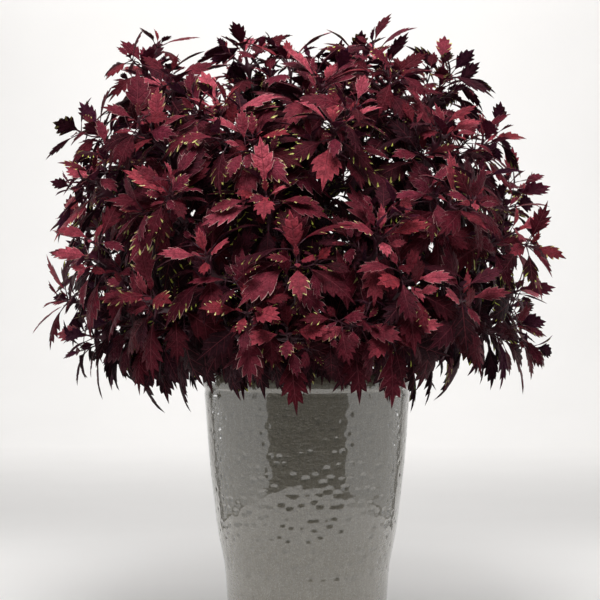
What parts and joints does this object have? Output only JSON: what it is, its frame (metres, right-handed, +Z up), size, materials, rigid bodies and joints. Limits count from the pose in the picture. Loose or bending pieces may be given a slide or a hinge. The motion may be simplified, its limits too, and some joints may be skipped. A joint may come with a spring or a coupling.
{
  "type": "potted coleus",
  "caption": "Bushy coleus with lobed burgundy leaves on branching square stems, rooted in potting mix in a tall, tapered, grey glazed pot.",
  "frame": {"origin": "centre of the pot's flat underside, on the pot's axis", "axes": "+Z up along the pot's axis, -Y towards the plant's front, +X to the right seen from the front"},
  "size_m": [0.8816, 0.8956, 1.0585],
  "materials": {
    "glaze": "glossy grey glaze, speckled, over a hammered surface",
    "potting_mix": "loose, matt, crumbly potting mix",
    "foliage": "soft satin burgundy leaves with pale pink and lime tooth tips"
  },
  "bodies": {
    "root": {"pot": "glaze", "potting_mix": "potting_mix", "leafy_stem_01": "foliage", "leafy_stem_02": "foliage", "leafy_stem_03": "foliage", "leafy_stem_04": "foliage", "leafy_stem_05": "foliage", "leafy_stem_06": "foliage", "leafy_stem_07": "foliage", "leafy_stem_08": "foliage", "leafy_stem_09": "foliage", "leafy_stem_10": "foliage", "leafy_stem_11": "foliage", "leafy_stem_12": "foliage", "leafy_stem_13": "foliage", "leafy_stem_14": "foliage", "leafy_stem_15": "foliage", "leafy_stem_16": "foliage", "leafy_stem_17": "foliage", "leafy_stem_18": "foliage", "leafy_stem_19": "foliage", "leafy_stem_20": "foliage"}
  },
  "joints": []
}
